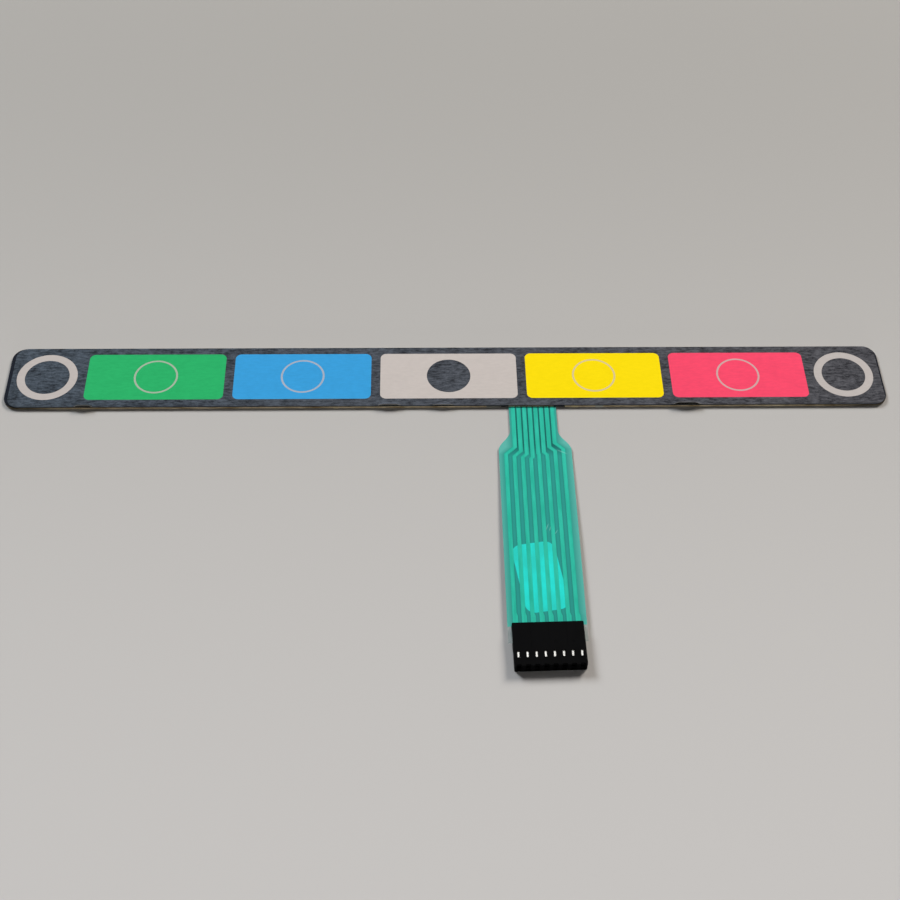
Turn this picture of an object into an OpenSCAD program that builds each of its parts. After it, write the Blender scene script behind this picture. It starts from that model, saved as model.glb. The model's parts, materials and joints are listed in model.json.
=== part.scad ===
// Membrane keypad strip: seven snap-dome keys under one printed face film, a flat printed tail
// that leaves the front edge, and an eight-way crimped connector on the tail's end.
// The origin is the middle of the strip's rear face. +X runs along the strip, +Y to its back
// edge and +Z out of its face. All sizes are in millimetres and degrees.

/* [Keys] */
// Width of a long key's colour field
key_w = 43.8; // [38:0.1:46]
// Height of a colour field, and outer diameter of the end keys' rings
key_h = 19.15; // [18:0.05:20]
// Gap between neighbouring keys
key_gap = 2.95; // [2:0.05:6]
// Corner radius of a colour field
key_corner = 1.9; // [0.5:0.1:4]
// Line width of the end keys' rings
end_ring_line = 2.55; // [1:0.05:4]
// Outer diameter of the thin circles on the colour fields
key_ring_d = 14; // [10:0.05:16]
// Line width of the thin circles
key_ring_line = 0.62; // [0.4:0.02:1.5]
// Diameter of the dark disc on the grey key
centre_disc_d = 14; // [10:0.05:16]

/* [Strip] */
// From the end keys' rings to the ends of the strip
end_margin = 2.8; // [1.5:0.1:8]
// From the colour fields to the long edges of the strip
side_margin = 2.9; // [2.5:0.1:5]
// Corner radius of the strip
base_corner = 4.4; // [2:0.1:6]
// Ledge that the face film leaves bare at the left end
ledge_left = 1.2; // [0.1:0.05:1.4]
// Ledge that the face film leaves bare at the right end
ledge_right = 0.6; // [0.1:0.05:1.4]
// Ledge that the face film leaves bare along the back edge
ledge_back = 0.2; // [0.1:0.05:1]
// Corner radius of the face film
overlay_corner = 3.7; // [2:0.1:6]
// Height of the tallest lift of the face film's front edge
lift_h = 1.15; // [0.3:0.05:1.3]
// Reach of the lifts in from the front edge
lift_reach = 2; // [1:0.1:2.4]
// Width of the widest lift
lift_w = 10.4; // [6:0.1:14]

/* [Layers] */
// Thickness of the release liner
liner_t = 0.12; // [0.08:0.01:0.3]
// Thickness of the rear adhesive
adhesive_t = 0.2; // [0.1:0.01:0.4]
// Thickness of the circuit film
film_t = 0.125; // [0.1:0.025:0.2]
// Thickness of the printed conductors and of the insulating print between them
silver_t = 0.02; // [0.015:0.005:0.04]
// Thickness of the insulating print over the conductors
cover_t = 0.015; // [0.01:0.005:0.03]
// Thickness of the spacer sheet
spacer_t = 0.32; // [0.3:0.02:0.8]
// Thickness of the dome retainer film
retainer_t = 0.05; // [0.03:0.01:0.1]
// Thickness of the bond under the face film
bond_t = 0.05; // [0.03:0.01:0.1]
// Thickness of the face film
overlay_t = 0.22; // [0.15:0.01:0.4]
// Thickness of the colour print on the face film
print_t = 0.02; // [0.01:0.005:0.04]
// Set-back of the circuit film from the strip's edge
film_inset = 0.3; // [0.1:0.1:1]

/* [Domes] */
// Diameter of a snap dome over its feet
dome_d = 8.4; // [7:0.1:9]
// Sheet thickness of a dome
dome_t = 0.07; // [0.04:0.01:0.1]
// Diameter of the bites that leave a dome its four legs
dome_bite_d = 4.6; // [3:0.1:5]
// Clearance round a dome in its well
well_clearance = 0.4; // [0.2:0.05:0.8]
// Width of the air channels between the wells
vent_w = 1; // [0.6:0.1:2]

/* [Circuit] */
// Pitch of the conductors in the neck
neck_pitch = 1.78; // [1.6:0.001:1.8]
// Width of the conductors in the neck
neck_trace_w = 1.3; // [0.8:0.05:1.4]
// Width of the conductors in the wide part of the tail
trace_w = 1.2; // [0.7:0.05:1.4]
// Width of the conductors' pads under the connector
pad_w = 1.5; // [1.2:0.05:1.9]
// Width of the conductors inside the strip
lane_w = 0.7; // [0.4:0.05:0.8]
// Pitch of the lanes inside the strip
lane_pitch = 1.2; // [1:0.05:1.25]
// From the strip's front edge to the first lane
lane_edge = 2.2; // [1.6:0.1:2.4]
// Line width of the ring pads under the domes' feet
ring_pad_line = 1.7; // [1.2:0.1:2]
// Diameter of the centre pads
centre_pad_d = 3; // [2:0.1:3.6]

/* [Tail] */
// From the midpoint between the grey and the yellow key to the middle of the tail
tail_offset = 2.95; // [-8:0.05:8]
// Width of the neck
neck_w = 15; // [14:0.1:18]
// Width of the tail
tail_w = 22.6; // [21.6:0.1:26]
// Length of the neck from the strip's front edge
neck_l = 10.2; // [6:0.1:14]
// Length of the flare between the neck and the wide part
flare_l = 7.8; // [6:0.1:14]
// Length of the tail from the strip's front edge
tail_l = 87.85; // [76:0.05:150]
// Length of film at the tail's end that carries no green print
bare_l = 5.4; // [5.2:0.1:6]
// Width of the notch in the rear adhesive and liner where the tail leaves
notch_w = 20.4; // [16:0.1:26]
// Depth of that notch
notch_l = 2.5; // [1:0.1:6]

/* [Label] */
// Width of the blank label on the tail's underside
label_w = 12.75; // [8:0.25:14]
// Length of the label
label_l = 24.1; // [12:0.1:26]
// Corner radius of the label
label_corner = 3; // [1:0.1:4]
// Turn of the label on the tail
label_turn = 9; // [-11:0.5:11]
// Thickness of the label
label_t = 0.1; // [0.05:0.01:0.2]

/* [Connector] */
// Pitch of the eight ways
way_pitch = 2.54; // [2.5:0.01:2.54]
// Length of the housing
housing_l = 14; // [13:0.1:18]
// Height of the housing
housing_h = 3.2; // [2.9:0.1:4]
// Top and bottom wall of the housing
housing_wall = 0.45; // [0.35:0.05:0.6]
// Front wall of the housing
front_wall = 0.9; // [0.6:0.1:1.2]
// Rib between neighbouring cavities
rib_w = 0.6; // [0.4:0.02:0.7]
// Reach of the film into the housing
film_reach = 5.75; // [5.7:0.05:7]
// Turn of the connector on the tail
connector_turn = 1.3; // [-2:0.1:2]
// Width of a window in the housing's top
window_w = 1.15; // [1.05:0.05:1.4]
// Length of a window
window_l = 2.2; // [1.8:0.1:2.6]
// From the housing's rear edge to the middle of the windows
window_y = 10.2; // [10:0.1:10.4]
// Sheet thickness of the terminals
metal_t = 0.2; // [0.15:0.01:0.22]
// Width of a terminal's box
box_w = 1.7; // [1.5:0.05:1.8]
// Height of a terminal's box
box_h = 1.9; // [1.7:0.05:1.95]
// Width of a mouth in the front edge, where a pin goes in
mouth_w = 1.5; // [1.45:0.05:1.7]
// Width of a tang where it is widest
tang_w = 0.9; // [0.8:0.05:1]

/* [Hidden] */

$fn = 64;
// A cut runs this far past the faces that it opens
over = 1;

// Colours
charcoal = "#545A64";
line_grey = "#BEB6B2";
field_green = "#34B469";
field_blue = "#3C9BE1";
field_grey = "#C8BEB8";
field_yellow = "#FFE00A";
field_red = "#FA506E";
black = "#1E2330";
kraft = "#96826A";
bond_cream = "#B4A58C";
clear = [0.75, 0.85, 0.83, 0.5];
silver = "#C9CCCC";
ink_green = "#28917F";
cover_green = "#30C0A2";
steel = "#B9BDC2";
tin = "#E4E6E8";
film_white = "#D8D8D0";
paper_white = "#F2F2EE";
housing_black = "#0C0C0C";

// Keys: two ends and five long ones between them, counted from the left
key_pitch = key_w + key_gap;
end_x = 2 * key_pitch + key_w / 2 + key_gap + key_h / 2;
key_x = [-end_x, -2 * key_pitch, -key_pitch, 0, key_pitch, 2 * key_pitch, end_x];

// Outlines of the strip and of its face film
base_l = 2 * (end_x + key_h / 2 + end_margin);
base_h = key_h + 2 * side_margin;
front_y = -base_h / 2;
overlay_l = base_l - ledge_left - ledge_right;
overlay_h = base_h - ledge_back;

// Heights of the layers' undersides
adhesive_z = liner_t;
film_z = adhesive_z + adhesive_t;
silver_z = film_z + film_t;
cover_z = silver_z + silver_t;
spacer_z = cover_z + cover_t;
retainer_z = spacer_z + spacer_t;
bond_z = retainer_z + retainer_t;
overlay_z = bond_z + bond_t;
top_z = overlay_z + overlay_t;

// Domes stand on their ring pads and end just under the retainer film
crown_clearance = 0.01;
dome_h = retainer_z - cover_z - crown_clearance;
dome_rings = 8;
bite_at = dome_d / 2 + 0.6;
well_d = dome_d + 2 * well_clearance;
print_window_d = dome_d + 0.6;
ring_pad_d = well_d + 0.6;
ring_gap = lane_w + 0.8;
drop_y = ring_pad_d / 2 + 2.6;

// Ways are counted from the left. The fifth is the common of all domes. Between the neck and
// the pads the conductors were printed a little to the left
ways = len(key_x) + 1;
common_way = 4;
print_shift = -0.2;
tail_x = key_pitch / 2 + tail_offset;
function way_offset(i) = i - (ways - 1) / 2;
function neck_x(i) = tail_x + way_offset(i) * neck_pitch;
function pad_x(i) = tail_x + way_offset(i) * way_pitch;
function wide_x(i) = pad_x(i) + print_shift;
function key_of(i) = i < common_way ? i : i - 1;
// The farther a key lies, the nearer its lane runs to the front edge
function lane_y(i) = front_y + lane_edge
    + lane_pitch * (i < common_way ? i : ways - 1 - i);
// From the strip's front edge to each conductor's jog out to the connector's pitch
jog_l = [16.7, 18.3, 19.5, 20.8, 19.4, 18.9, 16.7, 15.1];
function jog_y(i) = front_y - jog_l[i];

// Places along the tail
flare_y = front_y - neck_l;
film_end_y = front_y - tail_l;
connector_y = film_end_y + film_reach;
pad_ahead = 4;
pad_y = connector_y + pad_ahead;
pad_taper = 1.1;
pad_end_y = film_end_y + 0.5;
flare_steps = 16;

// The tail rises along a half cosine from the strip to the middle of the housing
rise_steps = 14;
rise_set_off = 3.5;
rise_start = front_y - rise_set_off;
rise_ahead = 6;
rise_end = connector_y + rise_ahead;
tail_rise = housing_h / 2 - film_t / 2 - film_z;
sheet_y = concat([base_h],
    [for (i = [0:rise_steps]) rise_start + (rise_end - rise_start) * i / rise_steps],
    [film_end_y - over]);
function tail_gain(y) = let(t = min(1, max(0, (rise_start - y) / (rise_start - rise_end))))
    tail_rise * (1 - cos(180 * t)) / 2;

// Middle of the label on the underside, from the housing and from the tail's middle line
label_ahead = 16.45;
label_aside = 1.1;
label_y = connector_y + label_ahead;
label_x = tail_x - label_aside;

// Lifts of the face film's front edge: place in key pitches, shares of lift_w and of lift_h
lifts = [[-2.46, 0.65, 0.78], [-0.406, 0.85, 0.65], [-0.043, 0.81, 0.48], [1.615, 1, 1]];
lift_columns = 16;
lift_shoulder = 0.55;
lift_seam = 0.05;
lift_rows = 4;

// Housing
housing_w = ways * way_pitch;
housing_corner = 0.35;
channel_w = way_pitch - rib_w;
slot_clearance = 0.08;
slot_l = film_reach + 0.1;
slot_z = housing_h / 2 - film_t / 2;
pad_top = slot_z + film_t + silver_t;
pin_side = 1;
pin_funnel = 0.2;
funnel_over = 0.02;
pin_z = housing_wall + box_h / 2;
mouth_depth = 0.45;
mouth_corner = 0.3;
// Mould lines and round marks on the housing's top: each mark's way and its place from the rear
groove_w = 0.12;
groove_l = window_y - window_l / 2 - 1;
groove_depth = 0.04;
marks = [[4.2, 6.7], [6.1, 6.7], [1, 12], [3, 12], [6.95, 11.95]];
mark_d = 0.9;
mark_depth = 0.05;

// Terminals: a box for the pin, a step up to the film, and tines folded over the pad
box_back = 6.9;
box_front = housing_l - front_wall - 0.1;
step_back = 5.3;
step_front = box_back - 0.2;
crimp_back = 0.5;
crimp_w = 1.6;
tine_y = [1.4, 2.9, 4.4];
tine_l = 0.8;
tine_fold = 0.6;
tine_clearance = 0.04;
tang_gap = 0.13;
tang_back = window_y - window_l / 2 + tang_gap;
tang_front = window_y + window_l / 2 + 0.4;
tang_root = 0.15;
tang_top = housing_h - 0.12;
tang_neck = 0.6;

// Flat outlines

module rounded(w, h, r) {
    square([w - 2 * r, h], center = true);
    square([w, h - 2 * r], center = true);
    for (x = [-1, 1], y = [-1, 1])
        translate([x * (w / 2 - r), y * (h / 2 - r)]) circle(r);
}

module annulus(d, line) difference() {
    circle(d = d);
    circle(d = d - 2 * line);
}

// Band of the given width or widths along a line of points, mitred at its corners
function unit(v) = v / norm(v);
function mitre(p, i) = let(
        back = unit(i > 0 ? p[i] - p[i - 1] : p[1] - p[0]),
        ahead = unit(i < len(p) - 1 ? p[i + 1] - p[i] : back),
        along = unit(back + ahead))
    [-along.y, along.x] / (along * back);
function width_at(w, i) = is_list(w) ? w[i] : w;
module ribbon(p, w) polygon(concat(
    [for (i = [0:len(p) - 1]) p[i] + mitre(p, i) * width_at(w, i) / 2],
    [for (i = [len(p) - 1:-1:0]) p[i] - mitre(p, i) * width_at(w, i) / 2]));

module base_outline(inset = 0)
    rounded(base_l - 2 * inset, base_h - 2 * inset, base_corner - inset);

module notched_outline() difference() {
    base_outline();
    translate([tail_x - notch_w / 2, front_y - over]) square([notch_w, notch_l + over]);
}

// Half width of the tail, which swells from the neck along a half cosine
function tail_half(y) = let(t = min(1, max(0, (flare_y - y) / flare_l)))
    neck_w / 2 + (tail_w - neck_w) / 2 * (1 - cos(180 * t)) / 2;

// The tail is cut off square to the connector
module tail_outline() {
    y = concat([front_y + over],
        [for (i = [0:flare_steps]) flare_y - flare_l * i / flare_steps]);
    slant = tail_w / 2 * tan(connector_turn);
    translate([tail_x, 0]) polygon(concat(
        [for (i = [0:len(y) - 1]) [-tail_half(y[i]), y[i]]],
        [[-tail_w / 2, film_end_y - slant], [tail_w / 2, film_end_y + slant]],
        [for (i = [len(y) - 1:-1:0]) [tail_half(y[i]), y[i]]]));
}

module wells(d) for (x = key_x) translate([x, 0]) circle(d = d);

// The stretch of a conductor outside the strip
module trace_outline(i) {
    jog = abs(wide_x(i) - neck_x(i));
    ribbon([[neck_x(i), front_y + over], [neck_x(i), jog_y(i)],
            [wide_x(i), jog_y(i) - jog], [wide_x(i), pad_y],
            [pad_x(i), pad_y - pad_taper], [pad_x(i), pad_end_y]],
        [neck_trace_w, neck_trace_w, trace_w, trace_w, pad_w, pad_w]);
}

// The lead of one key, from its centre pad to the neck
module key_lead(i) {
    x = key_x[key_of(i)];
    translate([x, 0]) circle(d = centre_pad_d);
    ribbon([[x, 0], [x, lane_y(i)], [neck_x(i), lane_y(i)], [neck_x(i), front_y]], lane_w);
}

// The common: a bus along the back and a ring pad round every centre pad
module common_lead() {
    ribbon([[neck_x(common_way), front_y], [neck_x(common_way), drop_y]], lane_w);
    translate([key_x[0], drop_y - lane_w / 2])
        square([key_x[len(key_x) - 1] - key_x[0], lane_w]);
    for (x = key_x) translate([x, 0]) {
        translate([-lane_w / 2, ring_pad_d / 2 - lane_w])
            square([lane_w, drop_y - ring_pad_d / 2 + lane_w]);
        difference() {
            annulus(ring_pad_d, ring_pad_line);
            translate([-ring_gap / 2, -ring_pad_d]) square([ring_gap, ring_pad_d]);
        }
    }
}

module lead(i) {
    if (i == common_way) common_lead();
    else key_lead(i);
}

module conductor_outlines() for (i = [0:ways - 1]) {
    trace_outline(i);
    lead(i);
}

// Flat sheets inside the strip, and sheets that follow the tail

module flat(z0, z1) translate([0, 0, z0]) linear_extrude(z1 - z0) children();

module sheet(z0, z1) intersection() {
    rotate([90, 0, 90]) linear_extrude(base_l, center = true) polygon(concat(
        [for (y = sheet_y) [y, z0 + tail_gain(y)]],
        [for (i = [len(sheet_y) - 1:-1:0]) [sheet_y[i], z1 + tail_gain(sheet_y[i])]]));
    linear_extrude(housing_h + top_z) children();
}

module at_connector() translate([tail_x, connector_y, 0]) rotate(connector_turn) children();
module at_way(i) translate([way_offset(i) * way_pitch, 0, 0]) children();

// Slits that the terminals' tines make in the film and in the pads
module tine_slits() at_connector() for (i = [0:ways - 1], y = tine_y, side = [-1, 1])
    at_way(i) translate([side * (crimp_w - metal_t) / 2, -y, slot_z])
        cube([metal_t + 2 * tine_clearance, tine_l + 2 * tine_clearance, housing_h], center = true);

// Rear layers

module release_liner() color(kraft) flat(0, adhesive_z) notched_outline();
module rear_adhesive() color(bond_cream) flat(adhesive_z, film_z) notched_outline();

// Circuit

module circuit_film() color(clear) difference() {
    union() {
        flat(film_z, silver_z) base_outline(film_inset);
        sheet(film_z, silver_z) tail_outline();
    }
    tine_slits();
}

module conductor(i) color(silver) difference() {
    union() {
        flat(silver_z, cover_z) lead(i);
        sheet(silver_z, cover_z) trace_outline(i);
    }
    tine_slits();
}

module past_print() translate([tail_x, film_end_y]) rotate(connector_turn)
    translate([-tail_w, -over]) square([2 * tail_w, bare_l + over]);

// Insulating print between the conductors, level with them
module dielectric_print() color(ink_green) {
    flat(silver_z, cover_z) difference() {
        base_outline(film_inset);
        wells(print_window_d);
        conductor_outlines();
    }
    sheet(silver_z, cover_z) difference() {
        tail_outline();
        past_print();
        conductor_outlines();
    }
}

// Second pass of the print: all over the strip, and over each conductor of the tail
module cover_print() color(cover_green) {
    flat(cover_z, spacer_z) difference() {
        base_outline(film_inset);
        wells(print_window_d);
    }
    for (i = [0:ways - 1]) sheet(cover_z, spacer_z) difference() {
        trace_outline(i);
        past_print();
    }
}

// Keys

module dome_spacer() color(black) flat(spacer_z, retainer_z) difference() {
    base_outline();
    wells(well_d);
    square([key_x[len(key_x) - 1] - key_x[0], vent_w], center = true);
}

// A four-legged snap dome: a shallow bowl, mouth down, bitten away between its feet
module dome(k) color(steel) translate([key_x[k], 0, cover_z]) intersection() {
    rotate_extrude() polygon(concat(
        [for (i = [0:dome_rings]) bowl(i, 0)],
        [for (i = [dome_rings:-1:0]) bowl(i, dome_t)]));
    linear_extrude(dome_h) difference() {
        circle(d = dome_d);
        for (a = [0:90:270]) rotate(a) translate([bite_at, 0]) circle(d = dome_bite_d);
    }
}
function bowl(i, t) = let(s = i / dome_rings)
    [s * dome_d / 2, t + (dome_h - dome_t) * (1 - s * s)];

module dome_retainer() color(film_white) flat(retainer_z, bond_z) overlay_outline(film_inset);

// Face film and its print

module on_overlay() translate([(ledge_left - ledge_right) / 2, -ledge_back / 2]) children();

module overlay_outline(inset = 0)
    on_overlay() rounded(overlay_l - 2 * inset, overlay_h - 2 * inset, overlay_corner - inset);

module overlay_adhesive() color(bond_cream) flat(bond_z, overlay_z) overlay_outline(film_inset);

module field_outline(k) translate([key_x[k], 0]) difference() {
    rounded(key_w, key_h, key_corner);
    if (k == 3) circle(d = centre_disc_d);
    else annulus(key_ring_d, key_ring_line);
}

module printed(c) color(c) flat(top_z - print_t, top_z) children();
module key_field(k, c) printed(c) field_outline(k);
module key_ring(k) printed(line_grey) translate([key_x[k], 0]) annulus(key_ring_d, key_ring_line);
module end_ring(k) printed(line_grey) translate([key_x[k], 0]) annulus(key_h, end_ring_line);
module centre_disc() printed(charcoal) translate([key_x[3], 0]) circle(d = centre_disc_d);

// How far the film has come up at s from a lift's middle to its side and t out to its edge
function lift_at(s, t) = let(u = min(1, (1 - s) / lift_shoulder)) u * u * (3 - 2 * u) * t * t;

// One stretch of the front edge that has come unstuck and stands up, with a flat seam round it
module lifted_edge(x, half, height) {
    across = concat([-half - lift_seam],
        [for (c = [0:lift_columns]) half * (2 * c / lift_columns - 1)], [half + lift_seam]);
    out = concat([-lift_seam], [for (r = [0:lift_rows]) lift_reach * r / lift_rows]);
    columns = len(across);
    rows = len(out);
    count = columns * rows;
    function rise(u, v) = height * lift_at(min(1, abs(u) / half), max(0, v / lift_reach));
    points = [for (z = [top_z, overlay_z], v = out, u = across)
        [x + u, front_y + lift_reach - v, z + rise(u, v)]];
    function at(c, r) = r * columns + c;
    cells = [for (r = [0:rows - 2], c = [0:columns - 2]) [c, r]];
    rim = concat([for (c = [0:columns - 1]) at(c, 0)],
        [for (r = [1:rows - 1]) at(columns - 1, r)],
        [for (c = [columns - 2:-1:0]) at(c, rows - 1)],
        [for (r = [rows - 2:-1:1]) at(0, r)]);
    polyhedron(points, concat(
        [for (q = cells) each [
            [at(q.x, q.y), at(q.x + 1, q.y), at(q.x, q.y + 1)],
            [at(q.x + 1, q.y), at(q.x + 1, q.y + 1), at(q.x, q.y + 1)]]],
        [for (q = cells) each [
            [at(q.x, q.y) + count, at(q.x, q.y + 1) + count, at(q.x + 1, q.y) + count],
            [at(q.x + 1, q.y) + count, at(q.x, q.y + 1) + count, at(q.x + 1, q.y + 1) + count]]],
        [for (i = [0:len(rim) - 1]) let(a = rim[i], b = rim[(i + 1) % len(rim)]) each [
            [b, a, a + count], [b, a + count, b + count]]]));
}

module graphic_overlay() color(charcoal) {
    difference() {
        flat(overlay_z, top_z) difference() {
            overlay_outline();
            for (l = lifts) translate([l[0] * key_pitch - l[1] * lift_w / 2, front_y - over])
                square([l[1] * lift_w, lift_reach + over]);
        }
        flat(top_z - print_t, top_z + over) {
            for (k = [1:5]) translate([key_x[k], 0]) rounded(key_w, key_h, key_corner);
            for (k = [0, 6]) translate([key_x[k], 0]) annulus(key_h, end_ring_line);
        }
    }
    for (l = lifts) lifted_edge(l[0] * key_pitch, l[1] * lift_w / 2, l[2] * lift_h);
}

// Label

module tail_label() color(paper_white) sheet(film_z - label_t, film_z)
    translate([label_x, label_y]) rotate(label_turn) rounded(label_w, label_l, label_corner);

// Connector

// Square funnel that guides a pin through the wall behind a mouth
module pin_funnel_cut() intersection() {
    flare = pin_side / 2 + pin_funnel + funnel_over;
    rotate([90, 0, 90]) linear_extrude(2 * flare, center = true) polygon([
        [-pin_funnel, pin_side / 2], [-pin_funnel, -pin_side / 2],
        [funnel_over, -flare], [funnel_over, flare]]);
    linear_extrude(2 * flare, center = true) polygon([
        [pin_side / 2, -pin_funnel], [-pin_side / 2, -pin_funnel],
        [-flare, funnel_over], [flare, funnel_over]]);
}

module way_cuts() {
    translate([-channel_w / 2, front_wall - housing_l, housing_wall])
        cube([channel_w, housing_l - front_wall + over, housing_h - 2 * housing_wall]);
    translate([-pin_side / 2, -housing_l - over, pin_z - pin_side / 2])
        cube([pin_side, front_wall + 2 * over, pin_side]);
    translate([0, mouth_depth - housing_l, pin_z]) rotate([0, 0, 180]) pin_funnel_cut();
    translate([0, -window_y, housing_h - housing_wall - over])
        linear_extrude(housing_wall + 2 * over) rounded(window_w, window_l, window_w / 2 - 0.001);
    translate([0, -housing_l, housing_wall])
        linear_extrude(housing_h) rounded(mouth_w, 2 * mouth_depth, mouth_corner);
}

module connector_housing() color(housing_black) at_connector() difference() {
    translate([0, -housing_l / 2, 0])
        linear_extrude(housing_h) rounded(housing_w, housing_l, housing_corner);
    translate([-housing_w, -slot_l, slot_z - slot_clearance])
        cube([2 * housing_w, slot_l + over, film_t + silver_t + 2 * slot_clearance]);
    for (i = [0:ways - 1]) at_way(i) way_cuts();
    for (i = [2:2:ways - 2]) translate([way_offset(i - 0.5) * way_pitch, 0, housing_h])
        translate([-groove_w / 2, -groove_l, -groove_depth]) cube([groove_w, groove_l + over, over]);
    for (m = marks) at_way(m.x) translate([0, -m.y, housing_h - mark_depth])
        cylinder(d = mark_d, h = over);
}

// Side profile of a terminal's floor, from the crimp down to the box
module terminal_floor() {
    line = [[-crimp_back, slot_z - metal_t], [-step_back, slot_z - metal_t],
        [-step_front, housing_wall], [-box_front, housing_wall]];
    polygon(concat(line, [for (i = [3:-1:0]) line[i] + [0, metal_t]]));
}

module tine_pair() for (side = [0, 1]) mirror([side, 0, 0]) {
    translate([crimp_w / 2 - metal_t, -tine_l / 2, slot_z - metal_t])
        cube([metal_t, tine_l, pad_top + metal_t - slot_z + metal_t]);
    translate([crimp_w / 2 - tine_fold, -tine_l / 2, pad_top])
        cube([tine_fold, tine_l, metal_t]);
}

// The tang is cut from the box's top, leans back out of it and shows in the window
module tang_cut() translate([-tang_w / 2 - tang_gap, tang_root - tang_front, housing_wall + box_h / 2])
    cube([tang_w + 2 * tang_gap, tang_front - tang_root - tang_back + tang_gap, box_h]);

module tang() intersection() {
    rotate([90, 0, 90]) linear_extrude(box_w, center = true) polygon([
        [-tang_back, tang_top - metal_t], [-tang_back, tang_top],
        [-tang_front, housing_wall + box_h], [-tang_front, housing_wall + box_h - metal_t]]);
    linear_extrude(housing_h) {
        translate([0, -tang_back - tang_w / 2]) circle(d = tang_w);
        polygon([[-tang_w / 2, -tang_back - tang_w / 2], [tang_w / 2, -tang_back - tang_w / 2],
            [tang_neck / 2, -tang_front], [-tang_neck / 2, -tang_front]]);
    }
}

module terminal(i) color(tin) at_connector() at_way(i) {
    rotate([90, 0, 90]) linear_extrude(crimp_w, center = true) terminal_floor();
    for (y = tine_y) translate([0, -y, 0]) tine_pair();
    difference() {
        translate([-box_w / 2, -box_front, housing_wall])
            cube([box_w, box_front - box_back, box_h]);
        translate([metal_t - box_w / 2, -box_front - over, housing_wall + metal_t])
            cube([box_w - 2 * metal_t, box_front - box_back + 2 * over, box_h - 2 * metal_t]);
        tang_cut();
    }
    tang();
}

release_liner();
rear_adhesive();
circuit_film();
conductor(0);  // conductor_1
conductor(1);  // conductor_2
conductor(2);  // conductor_3
conductor(3);  // conductor_4
conductor(4);  // conductor_5
conductor(5);  // conductor_6
conductor(6);  // conductor_7
conductor(7);  // conductor_8
dielectric_print();
cover_print();
dome_spacer();
dome(0);  // dome_1
dome(1);  // dome_2
dome(2);  // dome_3
dome(3);  // dome_4
dome(4);  // dome_5
dome(5);  // dome_6
dome(6);  // dome_7
dome_retainer();
overlay_adhesive();
graphic_overlay();
key_field(1, field_green);  // key_field_green
key_field(2, field_blue);  // key_field_blue
key_field(3, field_grey);  // key_field_grey
key_field(4, field_yellow);  // key_field_yellow
key_field(5, field_red);  // key_field_red
key_ring(1);  // key_ring_green
key_ring(2);  // key_ring_blue
key_ring(4);  // key_ring_yellow
key_ring(5);  // key_ring_red
centre_disc();
end_ring(0);  // end_ring_left
end_ring(6);  // end_ring_right
tail_label();
connector_housing();
terminal(0);  // terminal_1
terminal(1);  // terminal_2
terminal(2);  // terminal_3
terminal(3);  // terminal_4
terminal(4);  // terminal_5
terminal(5);  // terminal_6
terminal(6);  // terminal_7
terminal(7);  // terminal_8
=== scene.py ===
"""Looks of the membrane keypad strip: camera, light, floor and the finish of every piece."""

import json
import math

import bpy
from mathutils import Matrix, Vector

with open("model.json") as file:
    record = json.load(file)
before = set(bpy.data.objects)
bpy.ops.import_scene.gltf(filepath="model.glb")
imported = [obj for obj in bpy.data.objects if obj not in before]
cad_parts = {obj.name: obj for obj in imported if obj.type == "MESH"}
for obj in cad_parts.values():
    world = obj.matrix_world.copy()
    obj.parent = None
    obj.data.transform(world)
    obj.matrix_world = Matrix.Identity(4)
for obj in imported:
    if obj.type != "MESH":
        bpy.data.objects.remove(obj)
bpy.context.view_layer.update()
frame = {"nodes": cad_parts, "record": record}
MM = 0.001

# Camera, found from the strip's outline, rings and tail in the photograph, which is a wider
# picture cropped at its sides
CAMERA_AT = Vector((-9.139, -322.21, 362.965)) * MM
YAW = math.radians(2.8661)
PITCH_DOWN = math.radians(51.1092)
ROLL = math.radians(1.9222)
FOCAL_PX = 1505.93
CROP_PX = 17.88
PICTURE_PX = 900
SENSOR_MM = 36

# Lamps: name, place in metres, size, power, colour and beam in degrees
LAMPS = (
    ("lamp_left", (-2.3, 2.7, 2.6), 1.75, 153.0, (0.94, 0.995, 1.06), 180),
    ("lamp_right", (2.3, 2.7, 2.6), 1.75, 153.0, (1.06, 1.0, 0.94), 180),
    ("lamp_front", (0.2, -2.4, 0.2), 0.3, 0.36, (1.0, 1.0, 1.0), 30),
    ("lamp_above", (0.19, -0.16, 2.0), 0.36, 0.85, (1.0, 1.0, 1.0), 180),
)
SKY = (0.97, 0.985, 1.0, 1.0)
SKY_STRENGTH = 0.045
FLOOR_REACH = 4.0

# The keys and the circuit on the tail, in millimetres, as the solids have them
KEY_PITCH = 46.75
STRIP_FRONT = -12.475
TAIL_X = 26.325
WAYS = 8
NECK_PITCH = 1.78
WIDE_PITCH = 2.54
PRINT_SHIFT = -0.2
NECK_TRACE = 1.3
WIDE_TRACE = 1.2
PAD_W = 1.5
PAD_Y = -90.575
PAD_TAPER = 1.1
JOG_L = (16.7, 18.3, 19.5, 20.8, 19.4, 18.9, 16.7, 15.1)
LABEL_AT = (25.225, -78.125)
LABEL_SIZE = (12.75, 24.1)
LABEL_CORNER = 3.0
LABEL_TURN = math.radians(9.0)

# Places between which a look changes: the conductors' width and the painted shade between them,
# along the tail, the face's painted light tint from cool to warm and the cut edge towards its dull
# ends, along the strip, and the face film's edge from flat to lifted, where its painted highlight
# shows, by height
WIDENING = (-33.0, -29.0)
NECK_SHADE = (-33.0, -28.5)
PAINTED_TINT_SPAN = (-110.0, 100.0)
DULL_ENDS = (118.0, 132.0)
LIFTED_Z = (1.16, 1.3)

# Small marks in the strip's front edge, and painted shadow beside the tail: place along it, width
# and colour
EDGE_MARKS_AND_SHADOWS = (
    (-35.9, 1.6, (230, 212, 170)),
    (14.0, 4.4, (130, 130, 120)),
    # Painted shadow: the two black ones on either side of the tail
    (17.5, 2.6, (14, 14, 14)),
    (34.9, 3.6, (14, 14, 14)),
    (39.9, 2.2, (230, 214, 170)),
    (47.6, 2.5, (210, 210, 196)),
)

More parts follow.
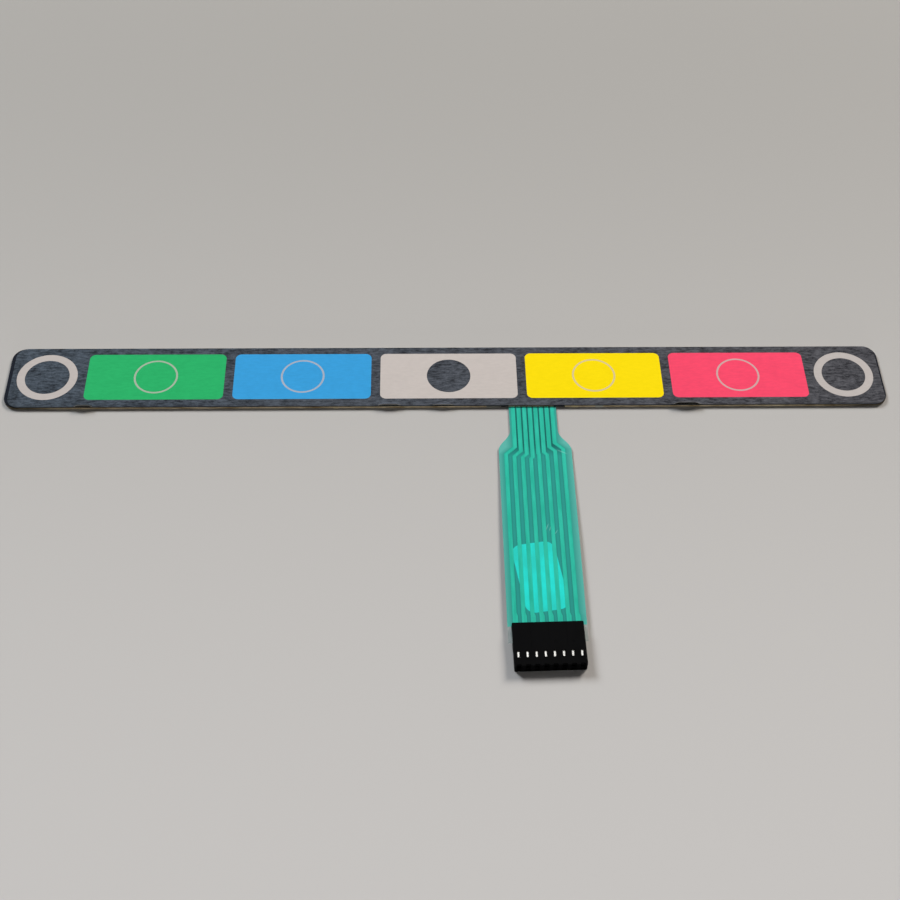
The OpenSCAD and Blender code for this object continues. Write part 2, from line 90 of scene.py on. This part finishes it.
# Pale scuffs on the tail's print: middle, turn in degrees, and half length and width. Then their
# colour and how much of it shows
SCUFFS = (
    ((28.3, -60.3), 70, (1.6, 0.22)),
    ((29.1, -61.0), 75, (1.1, 0.18)),
    ((34.6, -31.2), -28, (2.2, 0.3)),
    ((30.9, -62.2), 60, (1.2, 0.16)),
)
SCUFF = (150, 214, 204)
SCUFF_SHARE = 0.35

# The connector, which stands a little askew: its middle at the rear and its turn. In each of its
# windows, the bright middle of a spring tang: its place, half width and length, and lowest height.
# The rest of the tin is painted in shade.
CONNECTOR_AT = (26.325, -94.575)
CONNECTOR_TURN = math.radians(1.3)
TANG_AT = -10.25
TANG_HALF = (0.19, 0.62)
TANG_Z = 1.9


def srgb(r, g, b):
    """Linear colour from the 0 to 255 values that a picture shows."""
    def one(v):
        v /= 255
        return v / 12.92 if v <= 0.04045 else ((v + 0.055) / 1.055) ** 2.4
    return (one(r), one(g), one(b), 1.0)


def shaded(rgb, share):
    """The same colour, darker."""
    return tuple(v * share for v in rgb)


# Colours as the picture shows them
# Face film charcoal, light and dark tones: the cool and warm pairs carry a painted tint of the
# light
CHARCOAL_UNDER_COOL_LIGHT = ((82, 92, 103), (37, 42, 48))
CHARCOAL_UNDER_WARM_LIGHT = ((93, 93, 98), (43, 43, 47))
FILM_SIDE = (70, 74, 80)
# Painted highlight on the front of the face film's cut edge, where the film is lifted
FILM_FRONT_HIGHLIGHT = (158, 158, 154)
GREEN = (42, 181, 106)
BLUE = (58, 161, 222)
BEIGE = (202, 193, 187)
YELLOW = (255, 225, 0)
RED = (254, 76, 109)
LINE = (193, 185, 180)


class Look:
    """A material built from nodes, with one Principled shader."""

    def __init__(self, name, rough=0.5, metal=0.0, specular=0.5):
        self.mat = bpy.data.materials.new(name)
        self.mat.use_nodes = True
        self.tree = self.mat.node_tree
        self.shader = self.tree.nodes["Principled BSDF"]
        self.shader.inputs["Roughness"].default_value = rough
        self.shader.inputs["Metallic"].default_value = metal
        self.shader.inputs["Specular IOR Level"].default_value = specular
        coords = self.tree.nodes.new("ShaderNodeTexCoord")
        scale = self.tree.nodes.new("ShaderNodeVectorMath")
        scale.operation = "SCALE"
        scale.inputs["Scale"].default_value = 1 / MM
        self.tree.links.new(coords.outputs["Object"], scale.inputs[0])
        self.place = scale.outputs[0]

    def feed(self, socket, value):
        if isinstance(value, bpy.types.NodeSocket):
            self.tree.links.new(value, socket)
        elif value is not None:
            socket.default_value = value

    def math(self, operation, a, b=None, c=None, clamp=False):
        node = self.tree.nodes.new("ShaderNodeMath")
        node.operation = operation
        node.use_clamp = clamp
        for socket, value in zip(node.inputs, (a, b, c)):
            self.feed(socket, value)
        return node.outputs[0]

    def axis(self, which, place=None):
        node = self.tree.nodes.new("ShaderNodeSeparateXYZ")
        self.feed(node.inputs[0], place or self.place)
        return node.outputs[which]

    def spread(self, value, from_low, from_high, to_low=0.0, to_high=1.0, smooth=False):
        node = self.tree.nodes.new("ShaderNodeMapRange")
        node.interpolation_type = "SMOOTHSTEP" if smooth else "LINEAR"
        self.feed(node.inputs[0], value)
        for socket, number in zip(list(node.inputs)[1:5], (from_low, from_high, to_low, to_high)):
            socket.default_value = number
        return node.outputs[0]

    def moved(self, at=(0, 0, 0), turn=0.0, stretch=(1, 1, 1)):
        """Place measured from a point, turned back and stretched."""
        node = self.tree.nodes.new("ShaderNodeMapping")
        node.vector_type = "TEXTURE"
        node.inputs["Location"].default_value = at
        node.inputs["Rotation"].default_value = (0, 0, turn)
        node.inputs["Scale"].default_value = stretch
        self.feed(node.inputs[0], self.place)
        return node.outputs[0]

    def noise(self, per_mm, detail=3.0, rough=0.55, stretch=(1, 1, 1), at=(0, 0, 0)):
        node = self.tree.nodes.new("ShaderNodeTexNoise")
        node.inputs["Scale"].default_value = per_mm
        node.inputs["Detail"].default_value = detail
        node.inputs["Roughness"].default_value = rough
        self.feed(node.inputs["Vector"], self.moved(at=at, stretch=stretch))
        return node.outputs["Fac"]

    def mix(self, share, a, b):
        node = self.tree.nodes.new("ShaderNodeMix")
        node.data_type = "RGBA"
        self.feed(node.inputs["Factor"], share)
        self.feed(node.inputs[6], srgb(*a) if isinstance(a, tuple) else a)
        self.feed(node.inputs[7], srgb(*b) if isinstance(b, tuple) else b)
        return node.outputs[2]

    def mix_numbers(self, share, a, b):
        node = self.tree.nodes.new("ShaderNodeMix")
        self.feed(node.inputs["Factor"], share)
        self.feed(node.inputs[2], a)
        self.feed(node.inputs[3], b)
        return node.outputs[0]

    def colour(self, value):
        self.feed(self.shader.inputs["Base Color"], value)

    def rough(self, value):
        self.feed(self.shader.inputs["Roughness"], value)

    def bump(self, height, depth_mm, strength=1.0):
        node = self.tree.nodes.new("ShaderNodeBump")
        node.inputs["Strength"].default_value = strength
        node.inputs["Distance"].default_value = depth_mm * MM
        self.feed(node.inputs["Height"], height)
        self.feed(self.shader.inputs["Normal"], node.outputs[0])

    def upright(self):
        """1 on faces that stand, 0 on faces that lie."""
        node = self.tree.nodes.new("ShaderNodeNewGeometry")
        up = self.axis(2, node.outputs["Normal"])
        return self.spread(self.math("ABSOLUTE", up), 0.35, 0.75, 1.0, 0.0)

    def facing_front(self):
        """1 on faces that look to the strip's front, 0 on those that look aside or back."""
        node = self.tree.nodes.new("ShaderNodeNewGeometry")
        return self.spread(self.axis(1, node.outputs["Normal"]), -0.8, -0.4, 1.0, 0.0)


def streaks(look):
    """0 to 1 in short dashes along the strip, as the face's texture shows, over soft blotches."""
    dashes = look.noise(0.9, detail=2.0, rough=0.6, stretch=(2.0, 0.66, 1.0))
    blotches = look.noise(0.3, detail=2.0, stretch=(1.6, 1.0, 1.0), at=(7, 3, 0))
    return look.math("ADD", look.spread(dashes, 0.36, 0.64, 0.0, 0.65),
                     look.spread(blotches, 0.36, 0.64, 0.0, 0.35))


def film_look():
    """Textured charcoal polyester with dark dashes. A painted tint of the light makes it cooler at
    its left end and warmer at its right, and its cut edge has a painted highlight on its front
    where it is lifted."""
    look = Look("face_film", rough=0.62, specular=0.04)
    grain = streaks(look)
    fine = look.noise(3.2, detail=2.0, stretch=(1.5, 0.8, 1.0), at=(3, 5, 0))
    grain = look.math("ADD", grain, look.spread(fine, 0.3, 0.7, -0.25, 0.25), clamp=True)
    # Painted light tint: cool at the strip's left end, warm at its right
    along = look.spread(look.axis(0), *PAINTED_TINT_SPAN)
    light = look.mix(along, CHARCOAL_UNDER_COOL_LIGHT[0], CHARCOAL_UNDER_WARM_LIGHT[0])
    dark = look.mix(along, CHARCOAL_UNDER_COOL_LIGHT[1], CHARCOAL_UNDER_WARM_LIGHT[1])
    tone = look.mix(grain, light, dark)
    # Painted highlight: only the front faces of the lifted cut edge turn pale
    lifted = look.spread(look.axis(2), *LIFTED_Z)
    edge = look.mix(look.math("MULTIPLY", look.facing_front(), lifted), FILM_SIDE, FILM_FRONT_HIGHLIGHT)
    look.colour(look.mix(look.upright(), tone, edge))
    look.rough(look.spread(grain, 0.0, 1.0, 0.56, 0.72))
    look.bump(grain, 0.006, 0.4)
    return look.mat


def face_look(name, light, dark, rough=0.6):
    """Colour printed on the textured film: the same dashes, much fainter."""
    look = Look(name, rough=rough, specular=0.04)
    grain = streaks(look)
    look.colour(look.mix(grain, light, dark))
    look.rough(look.spread(grain, 0.0, 1.0, rough - 0.05, rough + 0.1))
    look.bump(grain, 0.006, 0.4)
    return look.mat


def line_look():
    """Thin pale ink: over a key's field it takes some of the field's colour."""
    look = Look("print_line", rough=0.6, specular=0.04)
    grain = streaks(look)
    tone = look.mix(grain, LINE, shaded(LINE, 0.97))
    x = look.axis(0)
    inner, outer = 1.4 * KEY_PITCH, 1.5 * KEY_PITCH
    right = look.spread(x, -0.1, 0.1)
    far_right = look.spread(x, inner, outer)
    left_field = look.mix(look.spread(x, -outer, -inner), GREEN, BLUE)
    field = look.mix(right, left_field, look.mix(far_right, YELLOW, RED))
    shows = look.mix_numbers(right, 0.28, look.spread(x, inner, outer, 0.38, 0.22))
    reach = look.math("ABSOLUTE", x)
    on_field = look.spread(reach, 2.3 * KEY_PITCH, 2.4 * KEY_PITCH, 1.0, 0.0)
    look.colour(look.mix(look.math("MULTIPLY", shows, on_field), tone, field))
    look.bump(grain, 0.006, 0.4)
    return look.mat


def plain_look(name, light, dark, rough, per_mm=0.8, share=0.6, metal=0.0, depth=0.01,
               specular=0.5, stretch=(1, 1, 1)):
    """Two near tones in soft clouds, for the pieces that show little."""
    look = Look(name, rough=rough, metal=metal, specular=specular)
    cloud = look.noise(per_mm, detail=4.0, stretch=stretch)
    look.colour(look.mix(look.math("MULTIPLY", cloud, share), light, dark))
    look.rough(look.spread(cloud, 0.3, 0.7, rough - 0.05, rough + 0.08))
    look.bump(cloud, depth, 0.4)
    return look.mat


def cut_edge(look, cloud, light, dark):
    """Colour of a cut edge: blotchy along the strip, dull at its ends, with small marks and
    painted shadow beside the tail.
    """
    tone = look.mix(look.spread(cloud, 0.38, 0.62), light, dark)
    reach = look.math("ABSOLUTE", look.axis(0))
    tone = look.mix(look.spread(reach, *DULL_ENDS, 0.0, 0.75), tone, (30, 29, 26))
    front = look.spread(look.axis(1), -1.0, 0.0, 1.0, 0.0)
    for place, width, rgb in EDGE_MARKS_AND_SHADOWS:
        away = look.math("ABSOLUTE", look.math("SUBTRACT", look.axis(0), place))
        mark = look.spread(away, width / 2 - 0.15, width / 2 + 0.15, 1.0, 0.0)
        tone = look.mix(look.math("MULTIPLY", mark, front), tone, rgb)
    return tone


def edge_look(name, light, dark, rough):
    """A bottom layer, of which little more than the cut edge shows."""
    look = Look(name, rough=rough, specular=0.1)
    cloud = look.noise(0.45, detail=5.0, rough=0.65, stretch=(2.2, 1.0, 1.0))
    look.colour(cut_edge(look, cloud, light, dark))
    look.bump(cloud, 0.02, 0.5)
    return look.mat


def spacer_look():
    """Black spacer with a line of glue along the foot of its cut edge."""
    look = Look("spacer_black", rough=0.6, specular=0.05)
    cloud = look.noise(0.6, detail=4.0, stretch=(2.0, 1.0, 1.0), at=(5, 0, 0))
    black = look.mix(cloud, (21, 27, 40), (14, 18, 28))
    glue = cut_edge(look, cloud, (255, 236, 198), (160, 138, 102))
    foot = look.math("MULTIPLY", look.upright(), look.spread(look.axis(2), 0.6, 0.66, 1.0, 0.0))
    look.colour(look.mix(foot, black, glue))
    look.bump(cloud, 0.01, 0.4)
    return look.mat


def clear_look():
    """Clear polyester: mostly seen through, with a faint green-grey cast."""
    look = Look("clear_film", rough=0.25, specular=0.3)
    haze = look.noise(0.3, detail=2.0)
    look.colour(look.mix(haze, (176, 190, 186), (192, 202, 198)))
    look.shader.inputs["Alpha"].default_value = 0.45
    return look.mat


def neck_x(way):
    """Middle of a conductor in the tail's neck."""
    return TAIL_X + (way - (WAYS - 1) / 2) * NECK_PITCH


def wide_x(way):
    """Middle of a conductor in the tail's wide part."""
    return TAIL_X + PRINT_SHIFT + (way - (WAYS - 1) / 2) * WIDE_PITCH


def traces(look):
    """Distances in millimetres: past the edge of the nearest conductor, less than 0 on it, and
    past the outer edges of the first and last ones."""
    x, y = look.axis(0), look.axis(1)
    x = look.math("SUBTRACT", x, look.spread(y, PAD_Y - PAD_TAPER, PAD_Y, -PRINT_SHIFT, 0.0))
    nearest = None
    for way, jog in enumerate(JOG_L):
        start = STRIP_FRONT - jog
        end = start - abs(wide_x(way) - neck_x(way))
        right = look.math("SUBTRACT", x, look.spread(y, end, start, wide_x(way), neck_x(way)))
        if way == 0:
            first = look.math("MULTIPLY", right, -1.0)
        gap = look.math("ABSOLUTE", right)
        nearest = gap if nearest is None else look.math("MINIMUM", nearest, gap)
    half = look.math("ADD", look.spread(y, *WIDENING, WIDE_TRACE / 2, NECK_TRACE / 2),
                     look.spread(y, PAD_Y - PAD_TAPER, PAD_Y, (PAD_W - WIDE_TRACE) / 2, 0.0))
    outer = look.math("MAXIMUM", first, right)
    return look.math("SUBTRACT", nearest, half), look.math("SUBTRACT", outer, half)


def scuffs(look):
    """1 along the pale scuffs on the tail, 0 beside them."""
    mark = 0.0
    for middle, turn, half in SCUFFS:
        place = look.moved(at=(*middle, 0), turn=math.radians(turn), stretch=(*half, 100.0))
        length = look.tree.nodes.new("ShaderNodeVectorMath")
        length.operation = "LENGTH"
        look.feed(length.inputs[0], place)
        mark = look.math("MAXIMUM", look.spread(length.outputs["Value"], 0.3, 1.0, 1.0, 0.0), mark)
    return mark


def on_label(look):
    """1 over the label on the underside, 0 beside it."""
    place = look.moved(at=(*LABEL_AT, 0), turn=LABEL_TURN)
    out = []
    for which in (0, 1):
        half = LABEL_SIZE[which] / 2 - LABEL_CORNER
        away = look.math("SUBTRACT", look.math("ABSOLUTE", look.axis(which, place)), half)
        out.append(look.math("MAXIMUM", away, 0.0))
    square = look.math("ADD", look.math("MULTIPLY", out[0], out[0]),
                       look.math("MULTIPLY", out[1], out[1]))
    reach = look.math("SQRT", square)
    return look.spread(reach, LABEL_CORNER - 0.06, LABEL_CORNER + 0.06, 1.0, 0.0)


def print_look():
    """Green print over bare film: painted shade between the conductors, deepest where they are
    close, painted light out to the film's edges, and bright where the white label lies behind it."""
    look = Look("ink_green", rough=0.4, specular=0.15)
    away, outside = traces(look)
    cloud = look.noise(0.35, detail=3.0, stretch=(1.0, 2.5, 1.0))
    wide = look.mix(cloud, (33, 145, 134), (37, 153, 142))
    # Painted shade: darker in the neck, where the conductors are close
    neck = look.mix(cloud, (4, 98, 92), (8, 106, 100))
    body = look.mix(look.spread(look.axis(1), *NECK_SHADE), wide, neck)
    # Painted shadow along both sides of each conductor
    body = look.mix(look.spread(away, 0.1, 0.45, 0.3, 0.0, smooth=True), body, (20, 104, 92))
    # Painted light: paler out towards the film's edges
    painted_edge_light = look.mix(look.spread(outside, 0.0, 2.2), (46, 152, 139), (90, 181, 168))
    pale = look.mix(look.spread(outside, -0.2, 0.0), body, painted_edge_light)
    patches = look.noise(0.2, detail=3.0, stretch=(1.0, 2.0, 1.0), at=(4, 4, 0))
    lit = look.mix(look.spread(patches, 0.35, 0.65), (34, 207, 193), (30, 230, 218))
    tone = look.mix(on_label(look), pale, lit)
    look.colour(look.mix(look.math("MULTIPLY", scuffs(look), SCUFF_SHARE), tone, SCUFF))
    look.bump(cloud, 0.01, 0.3)
    return look.mat


def cover_look():
    """Green print over silver: bright bands, a little darker at their edges."""
    look = Look("ink_green_bright", rough=0.36, specular=0.15)
    inner = look.math("MULTIPLY", traces(look)[0], -1.0)
    cloud = look.noise(0.5, detail=4.0, stretch=(0.6, 4.0, 1.0))
    band = look.mix(look.spread(cloud, 0.35, 0.65), (34, 179, 153), (47, 195, 169))
    tone = look.mix(look.spread(inner, -0.02, 0.1, smooth=True), (30, 166, 142), band)
    look.colour(look.mix(look.math("MULTIPLY", scuffs(look), SCUFF_SHARE), tone, SCUFF))
    look.bump(cloud, 0.008, 0.3)
    return look.mat


def tin_look():
    """Tinned spring metal: bright in the middle of each tang, with painted shade at its rolled
    edges and on all the other tin.
    """
    look = Look("terminal_tin", rough=0.35, metal=1.0)
    place = look.moved(at=(*CONNECTOR_AT, 0), turn=CONNECTOR_TURN)
    across = look.math("ADD", look.axis(0, place), WIDE_PITCH * (WAYS - 1) / 2)
    across = look.math("PINGPONG", across, WIDE_PITCH / 2)
    along = look.math("ABSOLUTE", look.math("SUBTRACT", look.axis(1, place), TANG_AT))
    half_w, half_l = TANG_HALF
    middle = look.math("MULTIPLY", look.spread(across, half_w, half_w + 0.1, 1.0, 0.0),
                       look.spread(along, half_l, half_l + 0.15, 1.0, 0.0))
    bright = look.math("MULTIPLY", middle, look.spread(look.axis(2), TANG_Z, TANG_Z + 0.1))
    cloud = look.noise(5.0, detail=4.0)
    tin = look.mix(cloud, (255, 253, 248), (240, 238, 232))
    # Painted shade: all tin but the tangs' middles is dark
    look.colour(look.mix(bright, (52, 51, 48), tin))
    look.rough(look.spread(cloud, 0.3, 0.7, 0.2, 0.3))
    look.bump(cloud, 0.01, 0.4)
    return look.mat


def housing_look():
    """Black moulded plastic with faint flow marks."""
    look = Look("housing_black", rough=0.5, specular=0.02)
    flow = look.noise(0.25, detail=3.0, stretch=(1.0, 2.0, 1.0))
    look.colour(look.mix(flow, (7, 7, 8), (11, 11, 12)))
    look.rough(look.spread(flow, 0.3, 0.7, 0.44, 0.6))
    look.bump(look.noise(6.0, detail=3.0), 0.006, 0.35)
    return look.mat


def paint(looks):
    """Gives each solid the material of its slot in the record."""
    for part in frame["record"]["subparts"]:
        mesh_object = frame["nodes"][part["node"]]
        for slot in mesh_object.material_slots:
            slot.material = looks[part["material_slot"]]


def make_looks():
    return {
        "face_film": film_look(),
        "print_green": face_look("print_green", GREEN, shaded(GREEN, 0.95)),
        "print_blue": face_look("print_blue", BLUE, shaded(BLUE, 0.96)),
        "print_beige": face_look("print_beige", BEIGE, shaded(BEIGE, 0.97)),
        "print_yellow": face_look("print_yellow", YELLOW, shaded(YELLOW, 0.98)),
        "print_red": face_look("print_red", RED, shaded(RED, 0.96)),
        "print_line": line_look(),
        "spacer_black": spacer_look(),
        "bond": edge_look("bond", (255, 236, 198), (178, 152, 112), 0.6),
        "bond_dark": plain_look("bond_dark", (22, 23, 26), (14, 15, 18), 0.5, 2.0, specular=0.1),
        # Liner: kraft brown, darkened with painted shade at the foot of the stack
        "liner_paper": edge_look("liner_paper", (120, 104, 80), (66, 56, 42), 0.8),
        "clear_film": clear_look(),
        "retainer_film": plain_look("retainer_film", (216, 216, 208), (196, 196, 188), 0.5),
        "silver_ink": plain_look("silver_ink", (201, 204, 204), (168, 172, 172), 0.45, 4.0,
                                 metal=0.85),
        "ink_green": print_look(),
        "ink_green_bright": cover_look(),
        "dome_steel": plain_look("dome_steel", (190, 193, 197), (160, 163, 168), 0.3, 2.0,
                                 metal=1.0, stretch=(3.0, 0.4, 1.0)),
        "label_paper": plain_look("label_paper", (242, 242, 238), (228, 228, 222), 0.75, 2.0),
        "housing_black": housing_look(),
        "terminal_tin": tin_look(),
    }


def make_camera():
    data = bpy.data.cameras.new("camera")
    data.sensor_width = SENSOR_MM
    data.lens = FOCAL_PX * SENSOR_MM / PICTURE_PX
    data.shift_x = -CROP_PX / PICTURE_PX
    data.clip_start = 10 * MM
    data.clip_end = 10
    camera = bpy.data.objects.new("camera", data)
    bpy.context.scene.collection.objects.link(camera)
    ahead = Vector((math.sin(YAW) * math.cos(PITCH_DOWN), math.cos(YAW) * math.cos(PITCH_DOWN),
                    -math.sin(PITCH_DOWN)))
    level = Vector((math.cos(YAW), -math.sin(YAW), 0))
    above = level.cross(ahead)
    right = level * math.cos(ROLL) + above * math.sin(ROLL)
    up = above * math.cos(ROLL) - level * math.sin(ROLL)
    turn = Matrix((right, up, -ahead)).transposed().to_4x4()
    camera.matrix_world = Matrix.Translation(CAMERA_AT) @ turn
    bpy.context.scene.camera = camera


def area_lamp(name, at, size, power, warmth, beam):
    """A round lamp that looks at the origin."""
    data = bpy.data.lights.new(name, "AREA")
    data.shape = "DISK"
    data.size = size
    data.energy = power
    data.color = warmth
    data.spread = math.radians(beam)
    lamp = bpy.data.objects.new(name, data)
    lamp.location = at
    lamp.rotation_euler = Vector(at).to_track_quat("Z", "Y").to_euler()
    bpy.context.scene.collection.objects.link(lamp)


def make_light():
    """Two broad lamps behind, cool at the left and warm at the right, a low one that reaches the
    strip's front edge, and a small one above that the tangs reflect."""
    world = bpy.data.worlds.new("studio")
    bpy.context.scene.world = world
    world.use_nodes = True
    background = world.node_tree.nodes["Background"]
    background.inputs["Color"].default_value = SKY
    background.inputs["Strength"].default_value = SKY_STRENGTH
    for lamp in LAMPS:
        area_lamp(*lamp)
    bpy.context.scene.view_settings.view_transform = "Standard"


def make_floor():
    mesh = bpy.data.meshes.new("floor")
    corners = ((-1, -1), (1, -1), (1, 1), (-1, 1))
    mesh.from_pydata([(x * FLOOR_REACH, y * FLOOR_REACH, 0) for x, y in corners],
                     [], [(0, 1, 2, 3)])
    floor = bpy.data.objects.new("floor", mesh)
    bpy.context.scene.collection.objects.link(floor)
    look = Look("floor", rough=0.75, specular=0.2)
    # Painted light: the floor is paler towards the front and darker towards the back
    ahead = look.spread(look.axis(1), 200.0, -250.0, smooth=True)
    look.colour(look.mix(ahead, (168, 165, 160), (205, 202, 199)))
    mesh.materials.append(look.mat)


make_camera()
make_light()
make_floor()
paint(make_looks())
